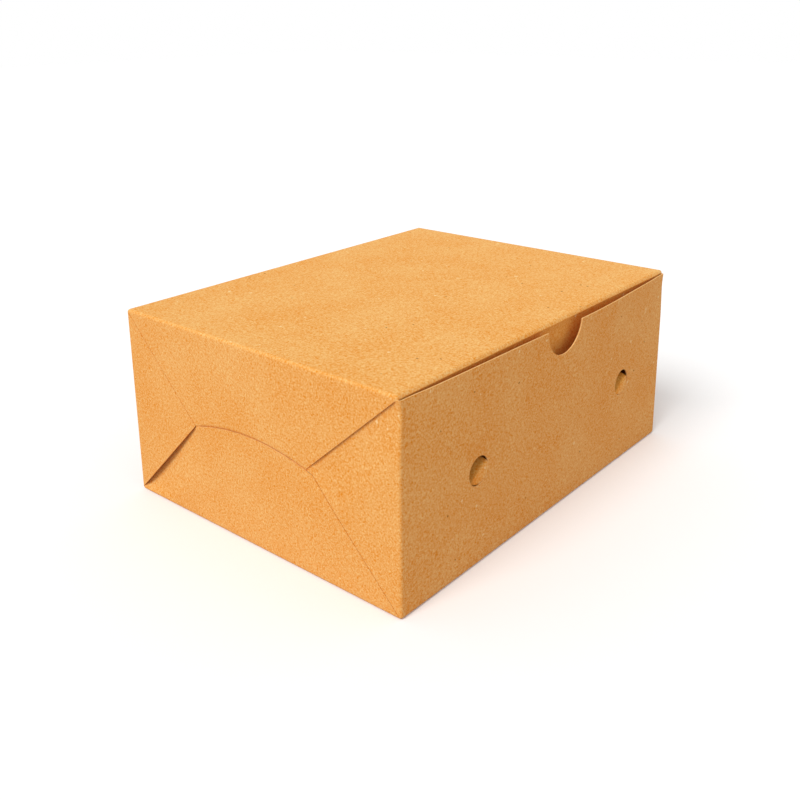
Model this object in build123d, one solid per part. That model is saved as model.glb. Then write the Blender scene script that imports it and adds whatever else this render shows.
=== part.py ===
from build123d import *
from math import atan, cos, radians, sin, sqrt
import os

# Closed box, outside sizes in millimetres
box_length = 180.0
box_depth = 138.0
box_height = 77.0

# Kraft board and its pressed folds
board = 0.5
fold_radius = 1.2
crease_width = 0.8
crease_depth = 0.12

# Clearances between the two halves
slit = 0.3
lap_gap = 0.35
tuck_gap = 0.4
overrun = 5.0

# Split of the end panels: a tongue on the tray, and strips lapped behind the cut edges
tongue_rise = 4.6
slit_tail = 2.5
lap_lead = 7.0
lap = 8.0
strip_relief = 0.3
back_strip_start = 8.0
back_strip_stop = 3.0
front_strip_start = 1.0
front_strip_stop = 11.0
lock_tab_width = 54.0
lock_tab_corner = 5.0

# Front wall of the tray
wall_drop = 1.5
front_shift = 2.0
notch_radius = 11.2
notch_corner = 0.3
vent_radius = 5.5
vent_spacing = 102.0
vent_height = 36.5
vent_cut = 0.15
vent_fold = 4.8
left_vent_turn_deg = 10.0
right_vent_turn_deg = 40.0
vent_push_deg = 30.0

# Tuck flap of the lid
tuck_depth = 28.0
tuck_inset = 4.0
tuck_corner = 10.0
tuck_lean_deg = 9.0

# Places that follow from the sizes above
shoulder = box_height / 2
diagonal = 1 / sqrt(2)
cut_length = shoulder / diagonal
wall_top = box_height - wall_drop
tuck_face = board + tuck_gap
lap_tilt = atan((board + lap_gap) / lap_lead)


def end_point(from_back, up):
    """A point of the end panel, by its distance from the back wall, as the end view's sketch has it."""
    return (box_depth / 2 - from_back, up)


def closed_shell():
    """The whole closed box as one sheet with rounded folds, before it is cut in two."""
    base = (Align.CENTER, Align.CENTER, Align.MIN)
    outside = Box(box_length, box_depth, box_height, align=base)
    outside = fillet(outside.edges(), fold_radius)
    hollow = Box(box_length - 2 * board, box_depth - 2 * board, box_height - 2 * board, align=base)
    hollow = fillet(hollow.edges(), fold_radius - board)
    return outside - Pos(0, 0, board) * hollow


def tray_side():
    """The part of the end view that belongs to the tray: below both diagonals and the tongue's arc."""
    low_back = end_point(-overrun, -overrun)
    back_shoulder = end_point(shoulder, shoulder)
    crown = end_point(box_depth / 2, shoulder + tongue_rise)
    front_shoulder = end_point(box_depth - shoulder, shoulder)
    high_front = end_point(box_depth + overrun, box_height + overrun)
    low_front = end_point(box_depth + overrun, -overrun)
    edges = [
        Line(low_back, back_shoulder),
        ThreePointArc(back_shoulder, crown, front_shoulder),
        Line(front_shoulder, high_front),
        Line(high_front, low_front),
        Line(low_front, low_back),
    ]
    return make_face(edges)


def end_plane(from_back, up, across, tilt):
    """A plane on the left end's outer face, its second axis along across and leaning inwards by tilt."""
    flat = Vector(0, -across[0], across[1])
    along = Vector(0, -flat.Z, flat.Y)
    normal = Vector(-cos(tilt), flat.Y * sin(tilt), flat.Z * sin(tilt))
    place = Vector(-box_length / 2, *end_point(from_back, up))
    return Plane(origin=place, x_dir=along, z_dir=normal)


def both_ends(piece):
    """A piece of the left end panel together with its twin on the right."""
    return [piece, mirror(piece, about=Plane.YZ)]


def diagonal_strip(start_from_back, start_up, first, last):
    """A window in the tray's end panel below a diagonal cut, and the bent strip that reaches behind it."""
    across = (-diagonal, diagonal)
    lead = lap_lead * diagonal
    place = (start_from_back + lead, start_up - lead)
    open_to = lap_lead + overrun
    window = Polyline((first, 0), (last, 0), (last, open_to), (first, open_to), close=True)
    window = extrude(end_plane(*place, across, 0) * make_face(window), amount=board, both=True)
    low = first + strip_relief
    high = last - strip_relief
    reach = lap_lead + lap
    strip = Polyline((low, 0), (high, 0), (high, lap_lead), (high - lap, reach), (low + lap, reach),
                     (low, lap_lead), close=True)
    strip = extrude(end_plane(*place, across, lap_tilt) * make_face(strip), amount=-board)
    return window, strip


def crease(start, across, length):
    """A score line pressed into an end panel's outer face, from a corner of the box along a diagonal."""
    groove = Pos(length / 2, 0) * Rectangle(length, crease_width)
    return extrude(end_plane(*start, across, 0) * groove, amount=-crease_depth)


def front_plane(along, up, push):
    """A plane on the front wall's outer face, with its second axis towards the left and pushed inwards."""
    normal = Vector(-sin(push), -cos(push), 0)
    return Plane(origin=(along, -box_depth / 2, up), x_dir=(0, 0, 1), z_dir=normal)


def vent(centre, turn_deg):
    """The hole of one vent, and its disc, which hangs on a short uncut stretch and is pushed inwards."""
    fold_offset = sqrt(vent_radius ** 2 - (vent_fold / 2) ** 2)
    beside = Pos(0, vent_radius) * Rectangle(2 * vent_radius, 2 * vent_radius)
    place = (centre + fold_offset, vent_height)
    hole = (Pos(0, fold_offset) * Circle(vent_radius)) & beside
    hole = extrude(front_plane(*place, 0) * hole, amount=board, both=True)
    disc = (Pos(0, fold_offset) * Circle(vent_radius - vent_cut)) & beside
    disc = extrude(front_plane(*place, radians(vent_push_deg)) * disc, amount=-board)
    middle = Axis((centre, -box_depth / 2, vent_height), (0, 1, 0))
    return [piece.rotate(middle, turn_deg) for piece in (hole, disc)]


def thumb_notch():
    """The half-round bite out of the front wall's top edge, with its two corners eased."""
    bite = Circle(notch_radius) + Pos(0, notch_radius) * Rectangle(2 * notch_radius, 2 * notch_radius)
    ease = Rectangle(2 * notch_corner, 2 * notch_corner)
    for side in (-1, 1):
        corner = Pos(side * notch_radius, 0) * ease
        round_off = Pos(side * (notch_radius + notch_corner), -notch_corner) * Circle(notch_corner)
        bite += corner - round_off - Pos(side * (notch_radius + notch_corner), -2 * notch_corner) * ease
    face = Plane(origin=(front_shift, -box_depth / 2, wall_top), x_dir=(1, 0, 0), z_dir=(0, -1, 0))
    return extrude(face * bite, amount=2 * board, both=True)


def tuck_flap():
    """The lid's front fold and the flap below it, which slips behind the front wall."""
    lean = radians(tuck_lean_deg)
    middle = board / 2
    fold = Vector(*end_point(box_depth - tuck_face - middle, box_height - middle))
    start = fold + Vector(fold_radius + overrun, 0)
    end = fold + tuck_depth * Vector(sin(lean), -cos(lean))
    line = FilletPolyline((start.X, start.Y), (fold.X, fold.Y), (end.X, end.Y), radius=fold_radius - middle)
    profile = extrude(Plane.YZ * trace(line, line_width=board), amount=box_length / 2, both=True)
    outline = Rectangle(box_length - 2 * tuck_inset, 2 * tuck_depth)
    outline = fillet(outline.vertices().group_by(Axis.Y)[0], tuck_corner)
    outline = extrude(Plane.XZ * Pos(0, box_height) * outline, amount=box_depth, both=True)
    return profile & outline


def make_tray(shell):
    """Bottom, front wall and lower end panels."""
    tray = shell & extrude(Plane.YZ * tray_side(), amount=box_length, both=True)
    above = Pos(0, 0, wall_top) * Box(2 * box_length, 2 * box_depth, box_height,
                                      align=(Align.CENTER, Align.CENTER, Align.MIN))
    tray = tray - above - thumb_notch()
    back = diagonal_strip(0, 0, back_strip_start, cut_length - back_strip_stop)
    front = diagonal_strip(box_depth - shoulder, shoulder, front_strip_start, cut_length - front_strip_stop)
    for window, strip in (back, front):
        tray -= both_ends(window)
        tray += both_ends(strip)
    tray -= both_ends(crease((box_depth, 0), (-diagonal, -diagonal), cut_length))
    for side, turn_deg in ((-1, left_vent_turn_deg), (1, right_vent_turn_deg)):
        hole, disc = vent(front_shift + side * vent_spacing / 2, turn_deg)
        tray = tray - hole + disc
    return tray


def lock_tab():
    """A window in the lid's end panel above the tongue, and the tab that drops behind the tongue."""
    place = (box_depth / 2, shoulder + tongue_rise + lap_lead)
    down = (0, -1)
    reach = lap_lead + tongue_rise + lap
    window = Pos(0, reach / 2) * Rectangle(lock_tab_width + 2 * strip_relief, reach)
    window = extrude(end_plane(*place, down, 0) * window, amount=board, both=True)
    tab = Pos(0, reach / 2) * Rectangle(lock_tab_width, reach)
    tab = fillet(tab.vertices().group_by(Axis.Y)[-1], lock_tab_corner)
    tab = extrude(end_plane(*place, down, lap_tilt) * tab, amount=-board)
    return window, tab


def front_relief():
    """The sliver between the tray's front diagonal and the lid's cut edge, which starts short of it."""
    slit_end = end_point(box_depth - shoulder, shoulder)
    cut_start = end_point(box_depth - shoulder - slit_tail, shoulder)
    top_corner = end_point(box_depth, box_height)
    return make_face(Polyline(slit_end, cut_start, top_corner, close=True))


def make_lid(shell):
    """Top, back wall, upper end panels with their lock tabs, and the tuck flap."""
    below = offset(tray_side(), slit) + front_relief()
    lid = shell - extrude(Plane.YZ * below, amount=box_length, both=True)
    front = Pos(0, -box_depth / 2 + tuck_face + fold_radius) * Box(
        2 * box_length, box_depth, 4 * box_height, align=(Align.CENTER, Align.MAX, Align.CENTER))
    lid -= front
    window, tab = lock_tab()
    lid -= both_ends(window)
    lid += both_ends(tab)
    lid -= both_ends(crease((0, box_height), (diagonal, diagonal), cut_length))
    return lid + tuck_flap()


def main():
    os.makedirs("parts", exist_ok=True)
    shell = closed_shell()
    export_step(make_tray(shell), "parts/base_tray.step")
    export_step(make_lid(shell), "parts/lid.step")


main()
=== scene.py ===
from math import acos, asin, cos, degrees, pi, radians, sin, sqrt

import bmesh
import bpy
import numpy as np
from mathutils import Matrix, Vector


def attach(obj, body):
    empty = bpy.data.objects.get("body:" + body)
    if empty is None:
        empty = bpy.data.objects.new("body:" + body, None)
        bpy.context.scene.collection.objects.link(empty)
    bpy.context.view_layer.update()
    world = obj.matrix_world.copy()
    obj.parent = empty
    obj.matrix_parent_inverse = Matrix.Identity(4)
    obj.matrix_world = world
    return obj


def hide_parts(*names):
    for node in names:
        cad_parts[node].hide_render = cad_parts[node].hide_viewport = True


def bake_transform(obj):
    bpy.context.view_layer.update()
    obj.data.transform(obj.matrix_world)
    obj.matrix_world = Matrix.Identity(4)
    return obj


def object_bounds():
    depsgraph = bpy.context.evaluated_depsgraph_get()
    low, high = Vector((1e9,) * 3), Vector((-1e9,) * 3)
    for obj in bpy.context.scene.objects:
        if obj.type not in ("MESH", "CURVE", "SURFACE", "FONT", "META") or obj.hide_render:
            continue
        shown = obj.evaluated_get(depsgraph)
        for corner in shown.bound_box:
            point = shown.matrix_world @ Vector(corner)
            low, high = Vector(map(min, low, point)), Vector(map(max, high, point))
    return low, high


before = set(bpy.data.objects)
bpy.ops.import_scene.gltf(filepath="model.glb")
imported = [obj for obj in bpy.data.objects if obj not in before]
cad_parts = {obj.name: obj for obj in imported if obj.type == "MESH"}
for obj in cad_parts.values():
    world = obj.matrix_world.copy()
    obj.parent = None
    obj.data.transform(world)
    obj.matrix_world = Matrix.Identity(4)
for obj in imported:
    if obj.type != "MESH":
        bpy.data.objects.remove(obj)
cad_low, cad_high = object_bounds()


# Kraft board
# Every panel is one sheet of recycled kraft board, half a millimetre thick and brown all through.
# Short fibres give it a fine grain, and specks of paler and darker paper are scattered in it.
# What lies tucked behind another panel gets a deeper, more saturated tone: painted shade, for its shadow
# and the light board throws on board.
board = 0.0005
pale_fibre = (0.955, 0.605, 0.225, 1)
dark_fibre = (0.800, 0.265, 0.008, 1)
# Deeper tones of painted shade, for the tuck flap, the vents' discs and the rolled rims.
pale_painted_shade = (0.980, 0.490, 0.085, 1)
dark_painted_shade = (0.820, 0.220, 0.003, 1)
pale_cut = (0.92, 0.56, 0.23, 1)
dark_cut = (0.76, 0.40, 0.12, 1)
# Darker tones for the score grooves: painted shade along the creases.
pale_shaded_score = (0.81, 0.46, 0.14, 1)
dark_shaded_score = (0.65, 0.19, 0.006, 1)
pale_speck = (0.97, 0.68, 0.32, 1)
dark_speck = (0.42, 0.150, 0.020, 1)
grain_scale = 1500.0
grain_detail = 3.0
grain_roughness = 0.6
grain_distortion = 0.8
grain_range = (0.32, 0.68)
mottle_scale = 40.0
mottle_detail = 4.0
mottle_range = (0.30, 0.70)
mottle_strength = 0.10
roughness_range = (0.92, 0.80)
speck_scale = 230.0
speck_chance = 0.70
speck_edge = 0.035
speck_raise = 0.8
speck_ragged = 0.0008
specks = ((pale_speck, 7.0013, 0.17), (dark_speck, 3.0, 0.13))
fibre_height = 0.0001
face_relief = 0.35
cut_relief = 0.5
board_gloss = 0.25


def put(tree, kind, sockets, **settings):
    """Adds a node to a tree. Each of its sockets takes a value, or a link from another node's output."""
    node = tree.nodes.new(kind)
    for name, value in settings.items():
        setattr(node, name, value)
    for key, value in sockets.items():
        if isinstance(value, bpy.types.NodeSocket):
            tree.links.new(value, node.inputs[key])
        else:
            node.inputs[key].default_value = value
    return node


def number(tree, operation, *terms, **settings):
    """The number that a Math node works out."""
    return put(tree, "ShaderNodeMath", dict(enumerate(terms)), operation=operation, **settings).outputs[0]


def vector(tree, operation, *terms, **named):
    """The vector that a Vector Math node works out."""
    sockets = dict(enumerate(terms), **named)
    return put(tree, "ShaderNodeVectorMath", sockets, operation=operation).outputs[0]


def mixed(tree, factor, first, second):
    """The colour between two colours."""
    return put(tree, "ShaderNodeMix", {0: factor, 6: first, 7: second}, data_type="RGBA").outputs[2]


def remapped(tree, value, low, high, to_low=0.0, to_high=1.0):
    """A value stretched from one range to another and held inside it."""
    sockets = {"Value": value, 1: low, 2: high, 3: to_low, 4: to_high}
    return put(tree, "ShaderNodeMapRange", sockets).outputs[0]


def new_group(name, kind, takes, gives):
    """An empty node group with named sockets, and its two end nodes."""
    tree = bpy.data.node_groups.new(name, kind)
    for label, socket in takes.items():
        tree.interface.new_socket(label, in_out="INPUT", socket_type=socket)
    for label, socket in gives.items():
        tree.interface.new_socket(label, in_out="OUTPUT", socket_type=socket)
    start = tree.nodes.new("NodeGroupInput")
    end = tree.nodes.new("NodeGroupOutput")
    return tree, start.outputs, end.inputs


def make_fibre_group():
    """Grain, mottling and specks of kraft board: a colour, a roughness and a height."""
    takes = {"Pale": "NodeSocketColor", "Dark": "NodeSocketColor"}
    gives = {"Colour": "NodeSocketColor", "Roughness": "NodeSocketFloat", "Height": "NodeSocketFloat"}
    tree, given, result = new_group("kraft_fibre", "ShaderNodeTree", takes, gives)
    place = tree.nodes.new("ShaderNodeTexCoord").outputs["Object"]
    sockets = {"Vector": place, "Scale": grain_scale, "Detail": grain_detail, "Roughness": grain_roughness,
               "Distortion": grain_distortion}
    grain = put(tree, "ShaderNodeTexNoise", sockets).outputs[0]
    grain = remapped(tree, grain, *grain_range)
    sockets = {"Vector": place, "Scale": mottle_scale, "Detail": mottle_detail}
    mottle = put(tree, "ShaderNodeTexNoise", sockets).outputs[0]
    mottle = remapped(tree, mottle, *mottle_range, -mottle_strength, mottle_strength)
    tone = number(tree, "ADD", grain, mottle, use_clamp=True)
    colour = mixed(tree, tone, given["Dark"], given["Pale"])
    ragged = put(tree, "ShaderNodeTexNoise", {"Vector": place, "Scale": grain_scale}).outputs["Color"]
    ragged = vector(tree, "ADD", place, vector(tree, "SCALE", ragged, Scale=speck_ragged))
    height = grain
    for speck, seed, size in specks:
        moved = vector(tree, "ADD", ragged, (seed, seed, seed))
        cell = put(tree, "ShaderNodeTexVoronoi", {"Vector": moved, "Scale": speck_scale}).outputs
        chance = put(tree, "ShaderNodeSeparateColor", {0: cell["Color"]}).outputs[0]
        reach = remapped(tree, chance, speck_chance, 1.0, 0.0, size)
        mask = remapped(tree, number(tree, "SUBTRACT", reach, cell["Distance"]), 0.0, speck_edge)
        colour = mixed(tree, mask, colour, speck)
        height = number(tree, "MULTIPLY_ADD", mask, speck_raise, height)
    tree.links.new(colour, result["Colour"])
    tree.links.new(remapped(tree, grain, 0.0, 1.0, *roughness_range), result["Roughness"])
    tree.links.new(height, result["Height"])
    return tree


def kraft_finish(name, pale, dark, relief):
    """A finish of kraft board between two tones, with its fibres raised by relief."""
    material = bpy.data.materials.new(name)
    material.use_nodes = True
    tree = material.node_tree
    shader = tree.nodes["Principled BSDF"]
    # A point attribute mixes the tones towards the painted shade tones.
    painted_shade = put(tree, "ShaderNodeAttribute", {}, attribute_name="painted_shade").outputs["Fac"]
    tones = {"Pale": mixed(tree, painted_shade, pale, pale_painted_shade), "Dark": mixed(tree, painted_shade, dark, dark_painted_shade)}
    fibre = put(tree, "ShaderNodeGroup", tones, node_tree=fibre_group).outputs
    sockets = {"Height": fibre["Height"], "Strength": relief, "Distance": fibre_height}
    bump = put(tree, "ShaderNodeBump", sockets).outputs[0]
    tree.links.new(fibre["Colour"], shader.inputs["Base Color"])
    tree.links.new(fibre["Roughness"], shader.inputs["Roughness"])
    tree.links.new(bump, shader.inputs["Normal"])
    shader.inputs["Specular IOR Level"].default_value = board_gloss
    return material


fibre_group = make_fibre_group()
kraft_face = kraft_finish("kraft_face", pale_fibre, dark_fibre, face_relief)
kraft_cut = kraft_finish("kraft_cut", pale_cut, dark_cut, cut_relief)
# The score grooves take the darker tones: painted shade along the creases.
kraft_shaded_score = kraft_finish("kraft_shaded_score", pale_shaded_score, dark_shaded_score, face_relief)


# Folded blank
# The die-cut blank is creased and folded up into a closed box with softly rounded folds.
# Both halves are cut from this one folded sheet, which the tree below makes at any size.
box_length = cad_high.x - cad_low.x
box_depth = cad_high.y - cad_low.y
box_height = cad_high.z
half_length = box_length / 2
half_depth = box_depth / 2
fold_radius = 0.0012
fold_cells = 4.0
panel_cells = (68.0, 76.0, 46.0)


def make_sheet_tree():
    """A closed box of board with rounded folds, as an outer face and an inner face one board apart."""
    takes = {"Size": "NodeSocketVector", "Centre": "NodeSocketVector", "Fold radius": "NodeSocketFloat",
             "Board": "NodeSocketFloat", "Cells": "NodeSocketVector", "Fold cells": "NodeSocketFloat",
             "Finish": "NodeSocketMaterial"}
    gives = {"Sheet": "NodeSocketGeometry"}
    tree, given, result = new_group("folded_board", "GeometryNodeTree", takes, gives)
    corners = vector(tree, "ADD", given["Cells"], (1, 1, 1))
    corners = put(tree, "ShaderNodeSeparateXYZ", {0: corners}).outputs
    sockets = {"Size": (2, 2, 2), "Vertices X": corners[0], "Vertices Y": corners[1],
               "Vertices Z": corners[2]}
    cube = put(tree, "GeometryNodeMeshCube", sockets).outputs[0]
    place = tree.nodes.new("GeometryNodeInputPosition").outputs[0]
    reach = vector(tree, "ABSOLUTE", place)
    side = vector(tree, "SIGN", place)
    fold_share = vector(tree, "SCALE", (2, 2, 2), Scale=given["Fold cells"])
    fold_share = vector(tree, "DIVIDE", fold_share, given["Cells"])
    flat_share = vector(tree, "SUBTRACT", (1, 1, 1), fold_share)
    radius = vector(tree, "SCALE", (1, 1, 1), Scale=given["Fold radius"])
    flat = vector(tree, "SUBTRACT", vector(tree, "SCALE", given["Size"], Scale=0.5), radius)
    along = vector(tree, "DIVIDE", vector(tree, "MINIMUM", reach, flat_share), flat_share)
    along = vector(tree, "MULTIPLY", along, flat)
    past = vector(tree, "MAXIMUM", vector(tree, "SUBTRACT", reach, flat_share), (0, 0, 0))
    past = vector(tree, "DIVIDE", past, fold_share)
    turn = vector(tree, "TANGENT", vector(tree, "SCALE", past, Scale=pi / 4))
    outward = vector(tree, "NORMALIZE", vector(tree, "MULTIPLY", side, turn))
    root = vector(tree, "ADD", vector(tree, "MULTIPLY", side, along), given["Centre"])
    inner_radius = number(tree, "SUBTRACT", given["Fold radius"], given["Board"])
    outer = vector(tree, "ADD", root, vector(tree, "SCALE", outward, Scale=given["Fold radius"]))
    inner = vector(tree, "ADD", root, vector(tree, "SCALE", outward, Scale=inner_radius))
    outer = put(tree, "GeometryNodeSetPosition", {"Geometry": cube, "Position": outer}).outputs[0]
    inner = put(tree, "GeometryNodeSetPosition", {"Geometry": cube, "Position": inner}).outputs[0]
    inner = put(tree, "GeometryNodeFlipFaces", {"Mesh": inner}).outputs[0]
    both = tree.nodes.new("GeometryNodeJoinGeometry")
    tree.links.new(inner, both.inputs[0])
    tree.links.new(outer, both.inputs[0])
    real = put(tree, "GeometryNodeRealizeInstances", {"Geometry": both.outputs[0]}).outputs[0]
    sockets = {"Geometry": real, "Material": given["Finish"]}
    tree.links.new(put(tree, "GeometryNodeSetMaterial", sockets).outputs[0], result["Sheet"])
    return tree


def settled(piece):
    """The piece with its modifiers turned into plain mesh."""
    graph = bpy.context.evaluated_depsgraph_get()
    mesh = bpy.data.meshes.new_from_object(piece.evaluated_get(graph), depsgraph=graph)
    piece.modifiers.clear()
    piece.data = mesh
    return piece


def grown(name, tree, values):
    """An object with the plain mesh that a node tree makes from these values."""
    piece = bpy.data.objects.new(name, bpy.data.meshes.new(name))
    bpy.context.scene.collection.objects.link(piece)
    modifier = piece.modifiers.new(name, "NODES")
    modifier.node_group = tree
    for item in tree.interface.items_tree:
        if item.in_out == "INPUT":
            modifier[item.identifier] = values[item.name]
    return settled(piece)


def folded_sheet(name, low_y):
    """The closed box of board, whose front stands at low_y."""
    return grown(name, sheet_tree, {
        "Size": (box_length, half_depth - low_y, box_height),
        "Centre": (0.0, (half_depth + low_y) / 2, box_height / 2),
        "Fold radius": fold_radius, "Board": board, "Cells": panel_cells, "Fold cells": fold_cells,
        "Finish": kraft_face})


sheet_tree = make_sheet_tree()


# Vents
# Two round vents punched in the front wall. Each disc still hangs on a short uncut stretch at its right
# side. It is pushed inwards there, and its upper left is bent in further along a slanting crease.
# Both vents, and the notch that is cut between them, stand a little to the right of the wall's middle.
overrun = 0.005
front_shift = 0.002
vent_radius = 0.0055
vent_cut = 0.00015
vent_fold = 0.0048
vent_offset = sqrt(vent_radius ** 2 - vent_fold ** 2 / 4)
vent_spacing = 0.102
vent_height = 0.0365
vent_turns = (radians(10), radians(40))
vent_pushes = (radians(9), radians(12))
vent_creases = (-0.0016, -0.0022)
vent_bends = (radians(60), radians(65))
vent_crease_turn = radians(33)
vent_bend_radius = 0.0006
vent_strips = 24
vent_tip_share = 0.02
vent_steps = 48


def make_vent_tree():
    """One shape set out twice along the front wall."""
    takes = {"Shape": "NodeSocketObject", "Spacing": "NodeSocketFloat", "Height": "NodeSocketFloat",
             "Wall": "NodeSocketFloat", "Shift": "NodeSocketFloat", "Turn": "NodeSocketFloat",
             "Turn step": "NodeSocketFloat", "Finish": "NodeSocketMaterial"}
    tree, given, result = new_group("vent_pair", "GeometryNodeTree", takes, {"Pair": "NodeSocketGeometry"})
    first = number(tree, "MULTIPLY_ADD", given["Spacing"], -0.5, given["Shift"])
    sockets = {"X": first, "Y": given["Wall"], "Z": given["Height"]}
    start = put(tree, "ShaderNodeCombineXYZ", sockets).outputs[0]
    step = put(tree, "ShaderNodeCombineXYZ", {"X": given["Spacing"]}).outputs[0]
    sockets = {"Count": 2, "Start Location": start, "Offset": step}
    line = put(tree, "GeometryNodeMeshLine", sockets).outputs[0]
    shape = put(tree, "GeometryNodeObjectInfo", {"Object": given["Shape"]}).outputs["Geometry"]
    count = tree.nodes.new("GeometryNodeInputIndex").outputs[0]
    turn = number(tree, "MULTIPLY_ADD", count, given["Turn step"], given["Turn"])
    turn = put(tree, "ShaderNodeCombineXYZ", {"Y": turn}).outputs[0]
    sockets = {"Points": line, "Instance": shape, "Rotation": turn}
    pair = put(tree, "GeometryNodeInstanceOnPoints", sockets).outputs[0]
    real = put(tree, "GeometryNodeRealizeInstances", {"Geometry": pair}).outputs[0]
    sockets = {"Geometry": real, "Material": given["Finish"]}
    tree.links.new(put(tree, "GeometryNodeSetMaterial", sockets).outputs[0], result["Pair"])
    return tree


def solid(name, finish, *rows):
    """An object of solids: rows of like outlines, closed by their end outlines and the walls between."""
    work = bmesh.new()
    for row in rows:
        rings = [[work.verts.new(point) for point in outline] for outline in row]
        work.faces.new(rings[0])
        work.faces.new(rings[-1])
        for ring, next_ring in zip(rings, rings[1:]):
            for n in range(len(ring)):
                work.faces.new((ring[n - 1], ring[n], next_ring[n], next_ring[n - 1]))
    bmesh.ops.recalc_face_normals(work, faces=work.faces)
    mesh = bpy.data.meshes.new(name)
    work.to_mesh(mesh)
    work.free()
    mesh.materials.append(finish)
    piece = bpy.data.objects.new(name, mesh)
    bpy.context.scene.collection.objects.link(piece)
    return piece


def bar(name, axis, low, high, outline):
    """A solid bar of an outline, which runs from low to high along X or Y."""
    place = {"X": lambda a, b, c: (c, a, b), "Y": lambda a, b, c: (a, c, b)}[axis]
    return solid(name, kraft_cut, [[place(a, b, end) for a, b in outline] for end in (low, high)])


def round_points(centre, radius, first, last, steps):
    """Points along a round stretch between two angles in degrees."""
    turns = [radians(first + (last - first) * n / steps) for n in range(steps + 1)]
    return [(centre[0] + radius * cos(turn), centre[1] + radius * sin(turn)) for turn in turns]


def vent_holes():
    """The holes of both vents, which end at the uncut stretch on their right."""
    edge = degrees(acos(vent_offset / vent_radius))
    outline = round_points((0, 0), vent_radius, edge, 360 - edge, vent_steps)
    shape = bar("vent_hole", "Y", -overrun, overrun, outline)
    pair = grown("vent_holes", vent_tree, {
        "Shape": shape, "Spacing": vent_spacing, "Height": vent_height, "Wall": -half_depth,
        "Shift": front_shift, "Turn": vent_turns[0], "Turn step": vent_turns[1] - vent_turns[0],
        "Finish": kraft_cut})
    bpy.data.objects.remove(shape)
    return pair


def vent_disc(centre, turn, push, crease, bend):
    """A vent's disc, in strips along its crease, swung in on the uncut stretch at its right."""
    radius = vent_radius - vent_cut
    hinge_way = Vector((cos(turn), 0, -sin(turn)))
    along = Vector((cos(vent_crease_turn), 0, sin(vent_crease_turn)))
    across = Vector((-along.z, 0, along.x))
    inwards = Vector((0, 1, 0))
    swing = Matrix.Rotation(-push, 3, hinge_way.cross(inwards))
    foot = hinge_way * vent_offset
    row = []
    for n in range(vent_strips + 1):
        place = -radius * cos(pi * n / vent_strips)
        half = radius * max(sin(pi * n / vent_strips), vent_tip_share)
        end = min(half, (vent_offset - place * across.dot(hinge_way)) / along.dot(hinge_way))
        if end <= -half:
            continue
        past = max(place - crease, 0)
        bent = min(past / vent_bend_radius, bend)
        straight = past - bent * vent_bend_radius
        level = min(place, crease) + vent_bend_radius * sin(bent) + straight * cos(bent)
        depth = vent_bend_radius * (1 - cos(bent)) + straight * sin(bent)
        middle = across * level + inwards * depth
        inner = (inwards * cos(bent) - across * sin(bent)) * board
        first = middle - along * half
        last = middle + along * end
        outline = (first, last, last + inner, first + inner)
        row.append([centre + foot + swing @ (point - foot) for point in outline])
    return solid("vent_disc", kraft_face, row)


vent_tree = make_vent_tree()
vent_discs = []
for side, *bends in zip((-1, 1), vent_turns, vent_pushes, vent_creases, vent_bends):
    vent_centre = Vector((front_shift + side * vent_spacing / 2, -half_depth, vent_height))
    vent_discs.append(vent_disc(vent_centre, *bends))


# Tray
# Bottom, front wall and the lower half of each end panel. The end panel is cut along two diagonals and
# an arched tongue, strips beyond the diagonals tuck behind the lid, and webs hold the front corners.
# The board gives: the end panels are dished beside the cuts, and the front wall bows outwards.
shoulder = box_height / 2
diagonal = 1 / sqrt(2)
cut_length = shoulder / diagonal
slit_end = box_depth - shoulder
tongue_rise = 0.0046
arc_steps = 40
wall_drop = 0.0015
wall_top = box_height - wall_drop
lap = 0.008
lap_lead = 0.007
lap_gap = 0.00035
strip_slope = 2 * (board + lap_gap) / lap_lead
back_strip_start = 0.0005
back_strip_stop = 0.0015
back_strip = (back_strip_start, cut_length - back_strip_stop)
front_strip_start = -0.004
front_strip_stop = 0.003
front_strip = (front_strip_start, cut_length - front_strip_stop)
slit = 0.0003
slit_tail = 0.0025
slit_reach = 0.006
notch_radius = 0.0112
notch_corner = 0.0003
notch_steps = 36
notch_corner_steps = 6
crease_width = 0.0005
crease_depth = 0.0003
crease_lift = crease_depth / 4
hinge_reach = 0.003
hinge_end = 0.0015
end_zone = (0.003, 0.0015)
foot_rise = 0.004
back_hold = 0.004
back_release = 0.003
back_dish = 0.0017
back_dish_skew = 0.65
front_hold = (-0.004, 0.005)
front_release = (0.005, 0.0005)
front_dish = 0.0009
dish_width = 0.016
slit_dive = 0.0009
slit_dive_width = (0.0004, 0.0002)
wall_zone = (0.002, 0.008)
wall_end_zone = (0.014, 0.001)
wall_bow = 0.0017
wall_bow_power = 3
wall_rise_power = 1.5
notch_bow = 0.0016
notch_bow_place = 0.022
notch_bow_width = 0.036
vent_shade = 0.8
vent_shade_zone = (1.2 * board, 1.5 * vent_radius)
vent_shade_margin = 0.01
sharp_angle = radians(40)


def end_point(from_back, up):
    """A point of the end panel as y and z, by its distance from the back wall."""
    return (half_depth - from_back, up)


def diagonal_point(start, along, beyond):
    """A point by its way along a diagonal that rises from start, and beyond it to the lid's side."""
    foot = shoulder if start > 0 else 0
    return end_point(start + (along - beyond) * diagonal, foot + (along + beyond) * diagonal)


def arc_height(from_back):
    """Height of the tongue's arc above the bottom."""
    chord = half_depth - shoulder
    radius = (chord ** 2 + tongue_rise ** 2) / (2 * tongue_rise)
    return shoulder + tongue_rise - radius + np.sqrt(radius ** 2 - (from_back - half_depth) ** 2)


def arc_points(first, last, lift):
    """Points along the tongue's arc between two distances from the back wall."""
    steps = [first + (last - first) * n / arc_steps for n in range(arc_steps + 1)]
    return [end_point(step, arc_height(step) + lift) for step in steps]


def strip_edge(start, strip):
    """The far edge of a strip beyond a diagonal, with its ends cut back."""
    return [diagonal_point(start, strip[0] + lap, lap), diagonal_point(start, strip[1] - lap, lap),
            diagonal_point(start, strip[1], 0)]


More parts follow.
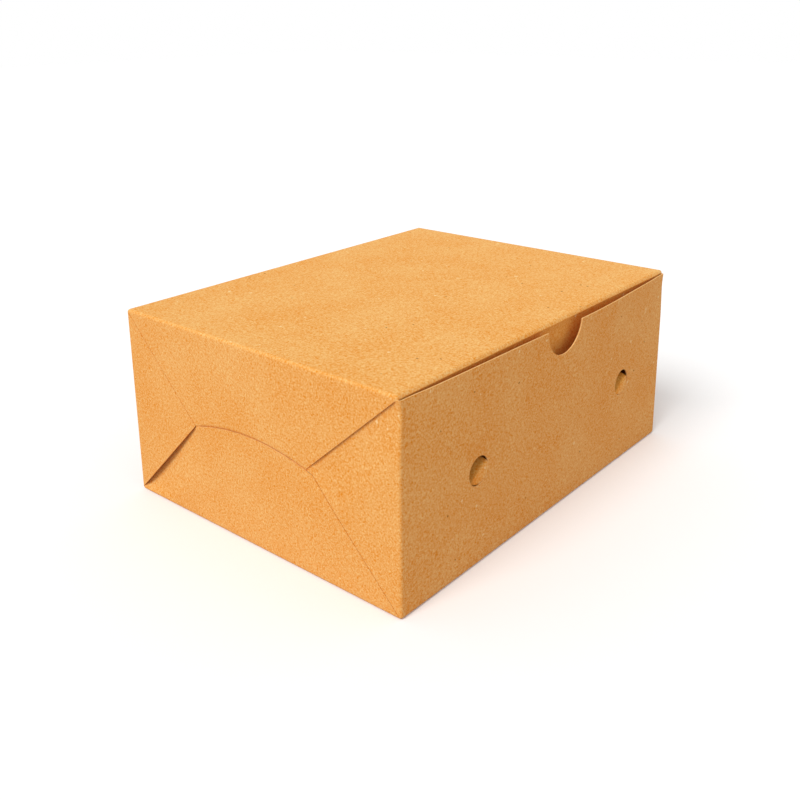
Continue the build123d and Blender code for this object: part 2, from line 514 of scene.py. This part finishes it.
def tray_outline():
    """The end view of the tray, with the strips that reach past both diagonals."""
    points = [end_point(-overrun, -overrun), diagonal_point(0, back_strip[0], 0)]
    points += strip_edge(0, back_strip)
    points += arc_points(shoulder, slit_end, 0) + arc_points(slit_end, slit_end - slit_reach, slit)
    points += strip_edge(slit_end, front_strip)
    points.append(end_point(box_depth - (box_height - wall_top), wall_top))
    return points + [(-half_depth - overrun, wall_top), (-half_depth - overrun, -overrun)]


def notch_outline():
    """The half-round thumb notch in the front wall's top edge, with eased corners."""
    side = notch_radius + notch_corner
    corner_height = wall_top - notch_corner
    dip = -degrees(asin(notch_corner / notch_radius))
    right = round_points((side, corner_height), notch_corner, 90, 180, notch_corner_steps)
    bite = round_points((0, wall_top), notch_radius, dip, -180 - dip, notch_steps)
    left = round_points((-side, corner_height), notch_corner, 0, 90, notch_corner_steps)
    points = [(side, wall_top + overrun)] + right + bite + left + [(-side, wall_top + overrun)]
    return [(x + front_shift, z) for x, z in points]


def creases(name, start_from_back, start_up, lean, rise):
    """Score lines in both end panels, from a corner of the box along a diagonal to the shoulder."""
    across = Vector((0, -1, 1)) * diagonal * crease_width / 2
    rows = []
    for side in (-1, 1):
        lift = Vector((side * crease_lift, 0, 0))
        bottom = Vector((-side * crease_depth, 0, 0))
        row = []
        for along in (-overrun, cut_length):
            y, z = end_point(start_from_back + lean * along * diagonal, start_up + rise * along * diagonal)
            middle = Vector((side * half_length, y, z))
            row.append([middle + lift + across, middle + bottom, middle + lift - across])
        rows.append(row)
    # The grooves take the darker score tones: painted shade.
    return solid(name, kraft_shaded_score, *rows)


def hinge_block(name):
    """The space of the fold between bottom and back wall."""
    outline = [(half_depth - hinge_reach, -overrun), (half_depth + overrun, -overrun),
               (half_depth + overrun, hinge_reach), (half_depth - hinge_reach, hinge_reach)]
    return bar(name, "X", hinge_end - half_length, half_length - hinge_end, outline)


def trimmed(piece, *cuts):
    """The piece after each cut: a way of cutting, and the tool that cuts."""
    for operation, tool in cuts:
        step = piece.modifiers.new(tool.name, "BOOLEAN")
        step.operation = operation
        step.solver = "EXACT"
        step.material_mode = "TRANSFER"
        step.object = tool
    settled(piece)
    for operation, tool in cuts:
        bpy.data.objects.remove(tool)
    return piece


def joined(piece, *others):
    """One piece from several."""
    with bpy.context.temp_override(active_object=piece, selected_editable_objects=[piece, *others]):
        bpy.ops.object.join()
    return piece


def ease(value, low, high):
    """A smooth step from 0 at low to 1 at high."""
    share = np.clip((value - low) / (high - low), 0, 1)
    return share * share * (3 - 2 * share)


def back_depth(from_back, z):
    """How far an end panel goes in at the back cut: the strip behind the lid, and a dish below the cut."""
    along = (from_back + z) * diagonal
    beyond = (z - from_back) * diagonal
    held = ease(along, 0, back_hold) * (1 - ease(along, cut_length - back_release, cut_length))
    way = np.clip(beyond + lap_lead, 0, None)
    strip = strip_slope * np.where(way < lap_lead, way ** 2 / (2 * lap_lead), way - lap_lead / 2)
    swell = np.sin(pi * np.clip(along / cut_length, 0, 1) ** back_dish_skew)
    dish = back_dish * swell * ease(beyond, -dish_width, 0)
    return (held * strip + dish) * ease(z, 0, foot_rise)


def front_depth(from_back, z):
    """How far it goes in at the front cut: a wide dish, and a short dive beside the tail of the slit."""
    along = (from_back - slit_end + z - shoulder) * diagonal
    beyond = (z - shoulder - from_back + slit_end) * diagonal
    release = ease(along, cut_length - front_release[0], cut_length - front_release[1])
    dish = front_dish * ease(along, *front_hold) * (1 - release) * ease(beyond, -dish_width, 0)
    corner = slit_end - slit_tail
    dive = slit_dive * (1 - ease(from_back, corner - slit_dive_width[0], corner + slit_dive_width[1]))
    beside_tail = (from_back > slit_end - slit_reach - lap) & (from_back < slit_end + slit)
    above_slit = z > arc_height(np.clip(from_back, shoulder, slit_end)) + slit / 2
    return np.maximum(dish, dive * (beside_tail & above_slit))


def shape_tray(points):
    """The end panels go in beside their cuts, and the front wall bows. The vents' discs get painted shade.
    """
    x, y, z = points.T
    from_back = half_depth - y
    from_front = half_depth + y
    on_end = ease(np.abs(x), half_length - end_zone[0], half_length - end_zone[1])
    # Points of the vents' discs get painted shade, a deeper tone for the shade inside the holes.
    in_vent = (from_front > vent_shade_zone[0]) & (from_front < vent_shade_zone[1])
    in_vent = in_vent & (np.abs(x) < half_length - vent_shade_margin)
    painted_shade = vent_shade * (in_vent & (np.abs(z - vent_height) < vent_radius))
    x = x - np.sign(x) * on_end * (back_depth(from_back, z) + front_depth(from_back, z))
    on_wall = 1 - ease(from_front, *wall_zone)
    on_wall *= 1 - ease(np.abs(x), half_length - wall_end_zone[0], half_length - wall_end_zone[1])
    bow = wall_bow * (1 - np.abs(x / half_length) ** wall_bow_power)
    bow += notch_bow * np.exp(-((x - notch_bow_place) / notch_bow_width) ** 2)
    y = y - bow * on_wall * np.clip(z / wall_top, 0, 1) ** wall_rise_power
    return np.stack([x, y, z], -1), painted_shade


def reshaped(piece, rule):
    """The piece with its points moved by a rule, smooth over its folds and sharp at its cut edges."""
    points = np.empty(len(piece.data.vertices) * 3, np.float32)
    piece.data.vertices.foreach_get("co", points)
    points, painted_shade = rule(points.reshape(-1, 3).astype(float))
    piece.data.vertices.foreach_set("co", points.astype(np.float32).ravel())
    # The rule also gives each point its share of painted shade, kept as a point attribute.
    shade = piece.data.attributes.new("painted_shade", "FLOAT", "POINT")
    shade.data.foreach_set("value", painted_shade.astype(np.float32))
    piece.data.shade_smooth()
    piece.data.set_sharp_from_angle(angle=sharp_angle)
    piece.data.update()
    return piece


tray = trimmed(
    folded_sheet("tray_sheet", -half_depth),
    ("INTERSECT", bar("tray_outline", "X", -box_length, box_length, tray_outline())),
    ("DIFFERENCE", bar("thumb_notch", "Y", -half_depth - overrun, -half_depth + overrun, notch_outline())),
    ("DIFFERENCE", vent_holes()),
    ("DIFFERENCE", creases("tray_crease", box_depth, 0, -1, 1)),
    ("DIFFERENCE", hinge_block("tray_hinge")))
reshaped(joined(tray, *vent_discs), shape_tray)
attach(tray, "tray")
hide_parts("base_tray")


# Lid
# Top, back wall, the upper half of each end panel with its lock tab, and the tuck flap. It is the other
# half of the same sheet and swings on the fold along the bottom of the back wall.
# Its front fold is pressed to a slanting band, with the flap stepped back and leaning in below it.
tuck_gap = 0.0004
tuck_face = board + tuck_gap
tuck_depth = 0.028
tuck_inset = 0.004
tuck_corner = 0.010
tuck_corner_steps = 10
tuck_lean = radians(6)
tuck_shade = 0.6
lid_front = tuck_face - half_depth
flap_half = half_length - tuck_inset
fold_step = 0.0004
fold_press = 0.6
fold_slant = 0.84
fold_foot_share = 0.99
roll_height = 0.0011
roll_depth = 0.001
roll_fade = 0.0025
roll_shade = (0.0001, 0.0008)
roll_zone = 0.003
tab_drop = 0.008
tab_outer_shares = ((1, 0), (0.83, 0.01), (0.67, 0.05), (0.5, 0.12), (0.33, 0.23), (0.17, 0.38), (0, 0.56),
                    (-0.025, 0.76), (-0.125, 1.0), (-1, 1.4))
tab_inner_shares = ((-1, 1.9), (-0.125, 1.5), (-0.0375, 1.26), (0, 1.06), (0.33, 0.73), (0.67, 0.55),
                    (1, 0.5))


def lid_gap():
    """The end view of all that isn't lid panel: the tray's side, and the rolled rim above the tongue."""
    lip = wall_top - slit
    points = [end_point(-overrun - slit, slit - overrun), end_point(shoulder - slit, shoulder + slit)]
    points += arc_points(shoulder, slit_end - slit_tail, roll_height)
    points.append(end_point(box_depth - (box_height - lip), lip))
    return points + [(-half_depth - overrun, lip), (-half_depth - overrun, -overrun)]


def lock_tabs():
    """The rim above each tongue's arc, which rolls in and drops behind the tongue as a tab."""
    last = slit_end - slit_tail
    rows = []
    for side in (-1, 1):
        row = []
        for n in range(arc_steps + 1):
            from_back = shoulder + (last - shoulder) * n / arc_steps
            fade = ease(from_back - shoulder, -slit, roll_fade)
            y, z = end_point(from_back, arc_height(from_back))
            outline = []
            for up_share, depth_share in tab_outer_shares + tab_inner_shares:
                up = up_share * roll_height if up_share > 0 else up_share * tab_drop * fade
                outline.append((side * (half_length - depth_share * roll_depth * fade), y, z + up))
            row.append(outline)
        rows.append(row)
    return solid("lock_tabs", kraft_face, *rows)


def flap_gap():
    """The front view of what is cut away below the tuck flap."""
    side = flap_half - tuck_corner
    up = box_height - tuck_depth + tuck_corner
    right = round_points((side, up), tuck_corner, 0, -90, tuck_corner_steps)
    left = round_points((-side, up), tuck_corner, -90, -180, tuck_corner_steps)
    return [(-flap_half, -overrun), (flap_half, -overrun)] + right + left


def shape_lid(points):
    """The front fold is pressed, and the flap leans in. The flap and the rolled rim get painted shade."""
    x, y, z = points.T
    # The flap below the front fold and the rim above each tongue get painted shade, for the shade behind
    # the wall and the tongue.
    on_flap = (y < lid_front + fold_radius) * (1 - ease(np.abs(x), flap_half, flap_half + board))
    rim = ease(half_length - np.abs(x), *roll_shade) * (half_length - np.abs(x) < roll_zone)
    rim = rim * (z < shoulder + tongue_rise + roll_height) * (np.abs(y) < half_depth - roll_zone)
    painted_shade = np.maximum(tuck_shade * on_flap * (z < box_height - fold_radius * fold_foot_share), rim)
    up = np.clip((z - box_height) / fold_radius + 1, 0, 1)
    from_axis = np.hypot(y - lid_front - fold_radius, z - box_height + fold_radius)
    outside = (from_axis > fold_radius - board / 2) * (z > box_height - fold_radius)
    rounded = 1 - np.sqrt(1 - up ** 2)
    pressed = outside * fold_press * (fold_slant * up - rounded) * fold_radius
    below = np.clip(box_height - fold_radius - z, 0, None)
    leaning = below * np.tan(tuck_lean) + fold_step * ease(below, 0, fold_step)
    y = y + on_flap * (pressed + leaning)
    return np.stack([x, y, z], -1), painted_shade


lid = trimmed(
    folded_sheet("lid_sheet", lid_front),
    ("DIFFERENCE", bar("left_end", "X", -box_length, -flap_half, lid_gap())),
    ("DIFFERENCE", bar("right_end", "X", flap_half, box_length, lid_gap())),
    ("DIFFERENCE", bar("under_flap", "Y", -box_depth, half_depth - hinge_reach, flap_gap())),
    ("DIFFERENCE", creases("lid_crease", 0, box_height, 1, -1)),
    ("DIFFERENCE", hinge_block("lid_hinge")))
reshaped(joined(lid, lock_tabs()), shape_lid)
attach(lid, "lid")
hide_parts("lid")


def unchanged(points):
    """The points as they are, with no painted shade."""
    return points, np.zeros(len(points))


hinge = trimmed(folded_sheet("hinge_fold", -half_depth), ("INTERSECT", hinge_block("hinge_room")))
reshaped(hinge, unchanged)
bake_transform(hinge)


# Studio
# A plain white floor, an even white surround, and one soft key light high above the left end.
# The floor looks white, but throws a duller and warmer light back on the box.
floor_size = 6.0
floor_drop = 0.0001
floor_bounce = (0.59, 0.46, 0.43, 1)
floor_lift = 0.06
white = (1, 1, 1, 1)
surround_strength = 0.61
key_strength = 1.75
key_height = radians(46)
key_turn = radians(2)
key_spread = radians(30)


def seen_directly(tree):
    """1 where the camera sees a thing straight, mirrored or through glass, and 0 for scattered light."""
    path = tree.nodes.new("ShaderNodeLightPath").outputs
    seen = number(tree, "MAXIMUM", path["Is Camera Ray"], path["Is Glossy Ray"])
    return number(tree, "MAXIMUM", seen, path["Is Transmission Ray"])


def studio_floor():
    """A wide pale floor just below the box."""
    half = floor_size / 2
    mesh = bpy.data.meshes.new("studio_floor")
    corners = [(-half, -half), (half, -half), (half, half), (-half, half)]
    mesh.from_pydata([(x, y, -floor_drop) for x, y in corners], [], [(0, 1, 2, 3)])
    material = bpy.data.materials.new("studio_floor")
    material.use_nodes = True
    tree = material.node_tree
    tree.nodes.clear()
    pale = put(tree, "ShaderNodeBsdfDiffuse", {"Color": white}).outputs[0]
    lift = put(tree, "ShaderNodeEmission", {"Color": white, "Strength": floor_lift}).outputs[0]
    pale = put(tree, "ShaderNodeAddShader", {0: pale, 1: lift}).outputs[0]
    dull = put(tree, "ShaderNodeBsdfDiffuse", {"Color": floor_bounce}).outputs[0]
    shown = put(tree, "ShaderNodeMixShader", {0: seen_directly(tree), 1: dull, 2: pale}).outputs[0]
    put(tree, "ShaderNodeOutputMaterial", {"Surface": shown})
    mesh.materials.append(material)
    floor = bpy.data.objects.new("studio_floor", mesh)
    bpy.context.scene.collection.objects.link(floor)


def surround():
    """Even light from all round, in front of a white background."""
    world = bpy.data.worlds.new("surround")
    world.use_nodes = True
    tree = world.node_tree
    tree.nodes.clear()
    light = put(tree, "ShaderNodeBackground", {"Color": white, "Strength": surround_strength}).outputs[0]
    backdrop = put(tree, "ShaderNodeBackground", {"Color": white, "Strength": 1.0}).outputs[0]
    shown = put(tree, "ShaderNodeMixShader", {0: seen_directly(tree), 1: light, 2: backdrop}).outputs[0]
    put(tree, "ShaderNodeOutputWorld", {"Surface": shown})
    bpy.context.scene.world = world


def key_light():
    """One soft lamp from the left, a little in front of the box."""
    lamp = bpy.data.lights.new("key_light", "SUN")
    lamp.energy = key_strength
    lamp.angle = key_spread
    key = bpy.data.objects.new("key_light", lamp)
    level = Vector((-cos(key_turn), -sin(key_turn), 0)) * cos(key_height)
    towards = level + Vector((0, 0, sin(key_height)))
    key.rotation_euler = towards.to_track_quat("Z", "Y").to_euler()
    bpy.context.scene.collection.objects.link(key)


studio_floor()
surround()
key_light()
bpy.context.scene.view_settings.view_transform = "Standard"


# Camera
# It looks at the left end and the front wall from a little above, close to the box, as in the photograph.
# The lens is shifted down, so that the upright edges run together less than they would without it.
camera_azimuth = radians(-49.814)
camera_elevation = radians(16.036)
camera_roll = radians(-0.547)
camera_distance = 0.38157
camera_target = Vector((-0.00733, 0, 0.08225))
focal_length = 42.456
sensor_width = 36
picture_shift = -0.15
near_limit = 0.01

lens = bpy.data.cameras.new("camera")
lens.lens = focal_length
lens.sensor_width = sensor_width
lens.shift_y = picture_shift
lens.clip_start = near_limit
camera = bpy.data.objects.new("camera", lens)
level = Vector((sin(camera_azimuth), -cos(camera_azimuth), 0)) * cos(camera_elevation)
back = level + Vector((0, 0, sin(camera_elevation)))
right = Vector((0, 0, 1)).cross(back).normalized()
up = back.cross(right)
rolled_right = right * cos(camera_roll) + up * sin(camera_roll)
rolled_up = up * cos(camera_roll) - right * sin(camera_roll)
turned = Matrix((rolled_right, rolled_up, back)).transposed().to_4x4()
camera.matrix_world = Matrix.Translation(camera_target + back * camera_distance) @ turned
bpy.context.scene.collection.objects.link(camera)
bpy.context.scene.camera = camera
